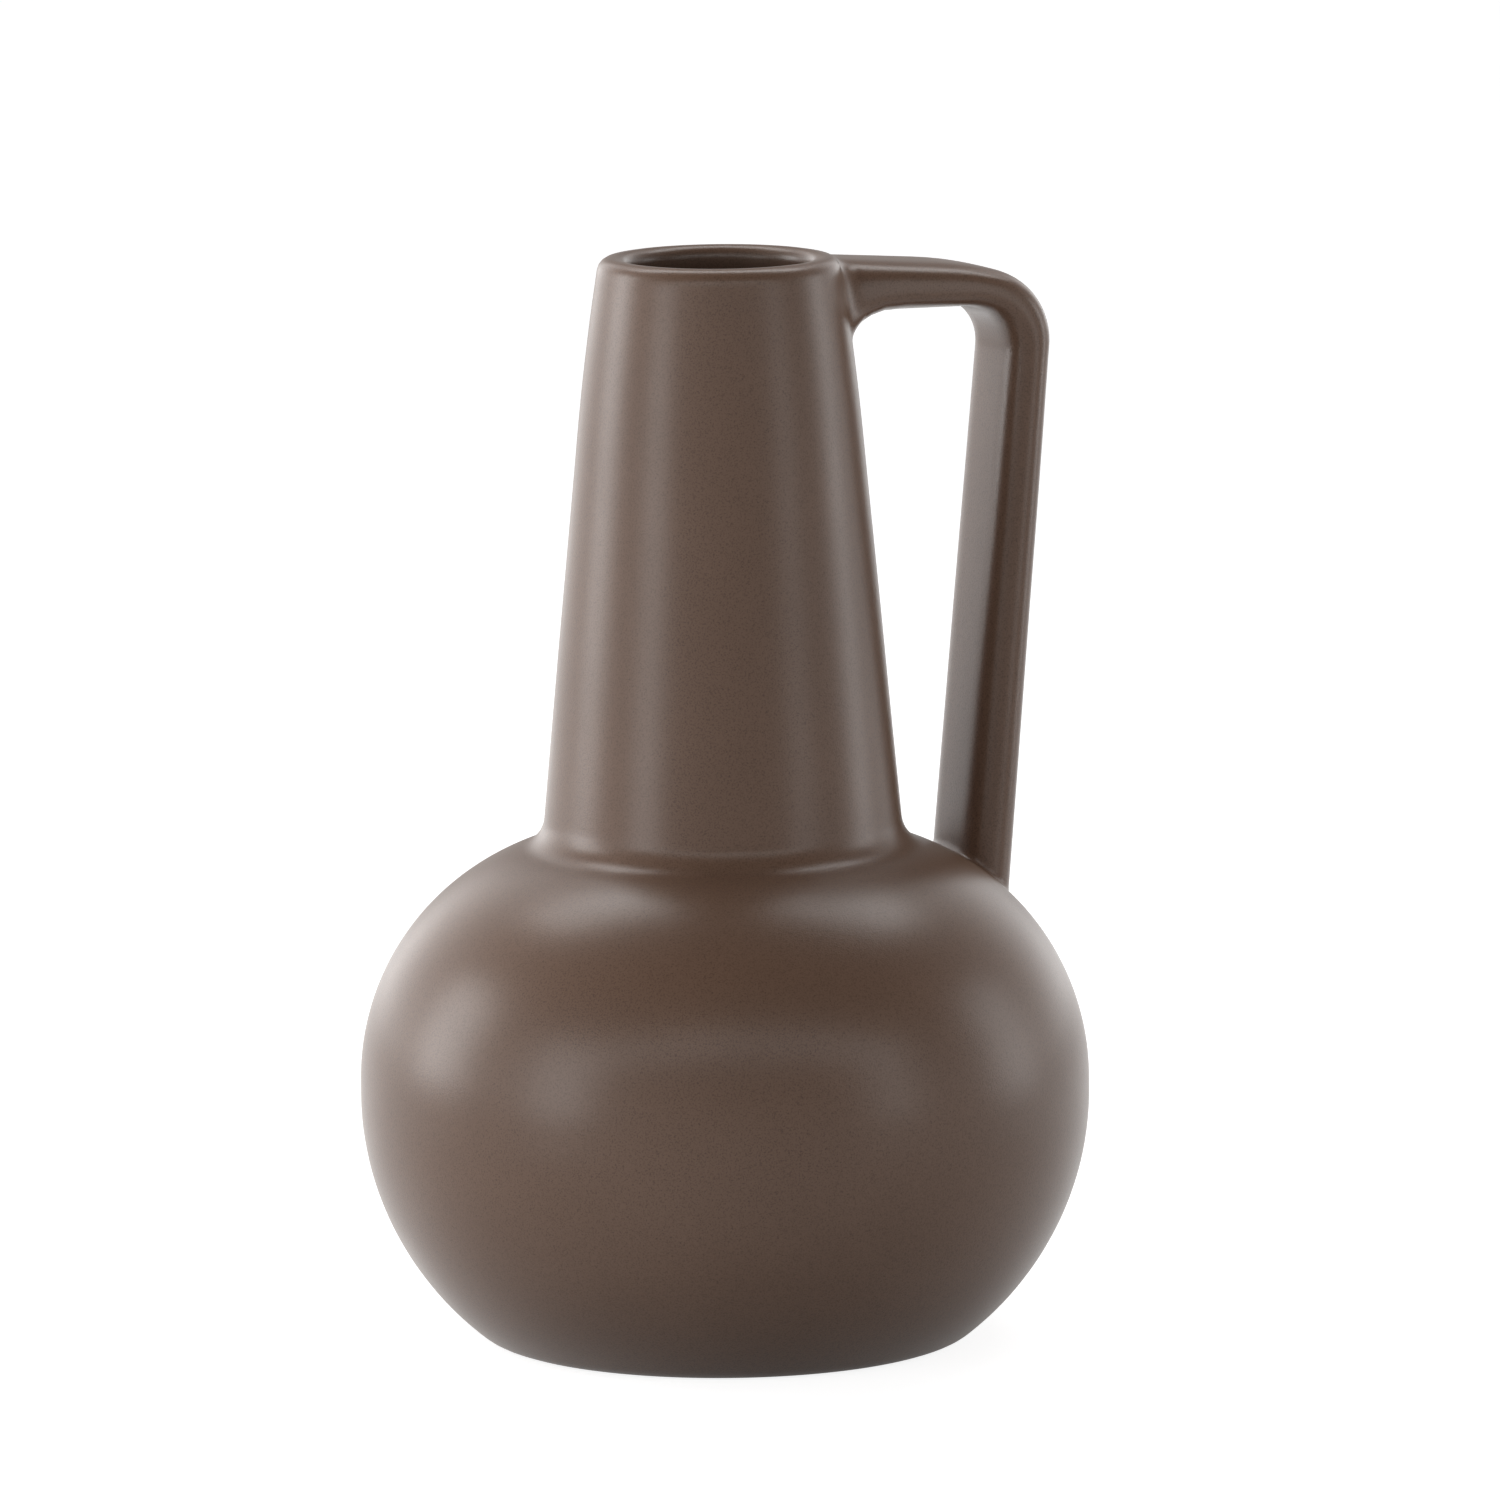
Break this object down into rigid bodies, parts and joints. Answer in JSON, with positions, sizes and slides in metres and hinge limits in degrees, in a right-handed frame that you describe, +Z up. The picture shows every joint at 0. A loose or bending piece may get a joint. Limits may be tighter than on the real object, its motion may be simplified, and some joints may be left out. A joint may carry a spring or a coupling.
{
  "type": "ceramic jug vase",
  "caption": "Matte glazed ceramic jug vase with a round bulb, a tapering neck with a thick soft rim, and a squared strap handle from neck to shoulder, for stems or for pouring.",
  "frame": {"origin": "centre of the foot ring, on the plane that the vessel stands on and on the vessel's axis", "axes": "+Z up along the vessel's axis, +X from the axis towards the handle, +Y across the handle's width"},
  "size_m": [0.1476, 0.1476, 0.22],
  "materials": {
    "taupe_glaze": "satin-matte stoneware glaze with a very fine mottle",
    "glazed_slip": "slip under the same satin-matte glaze"
  },
  "bodies": {
    "root": {"bulb": "taupe_glaze", "neck": "taupe_glaze", "handle": "taupe_glaze", "neck_slip_joint": "glazed_slip", "handle_top_slip_joint": "glazed_slip", "handle_foot_slip_joint": "glazed_slip"}
  },
  "joints": []
}
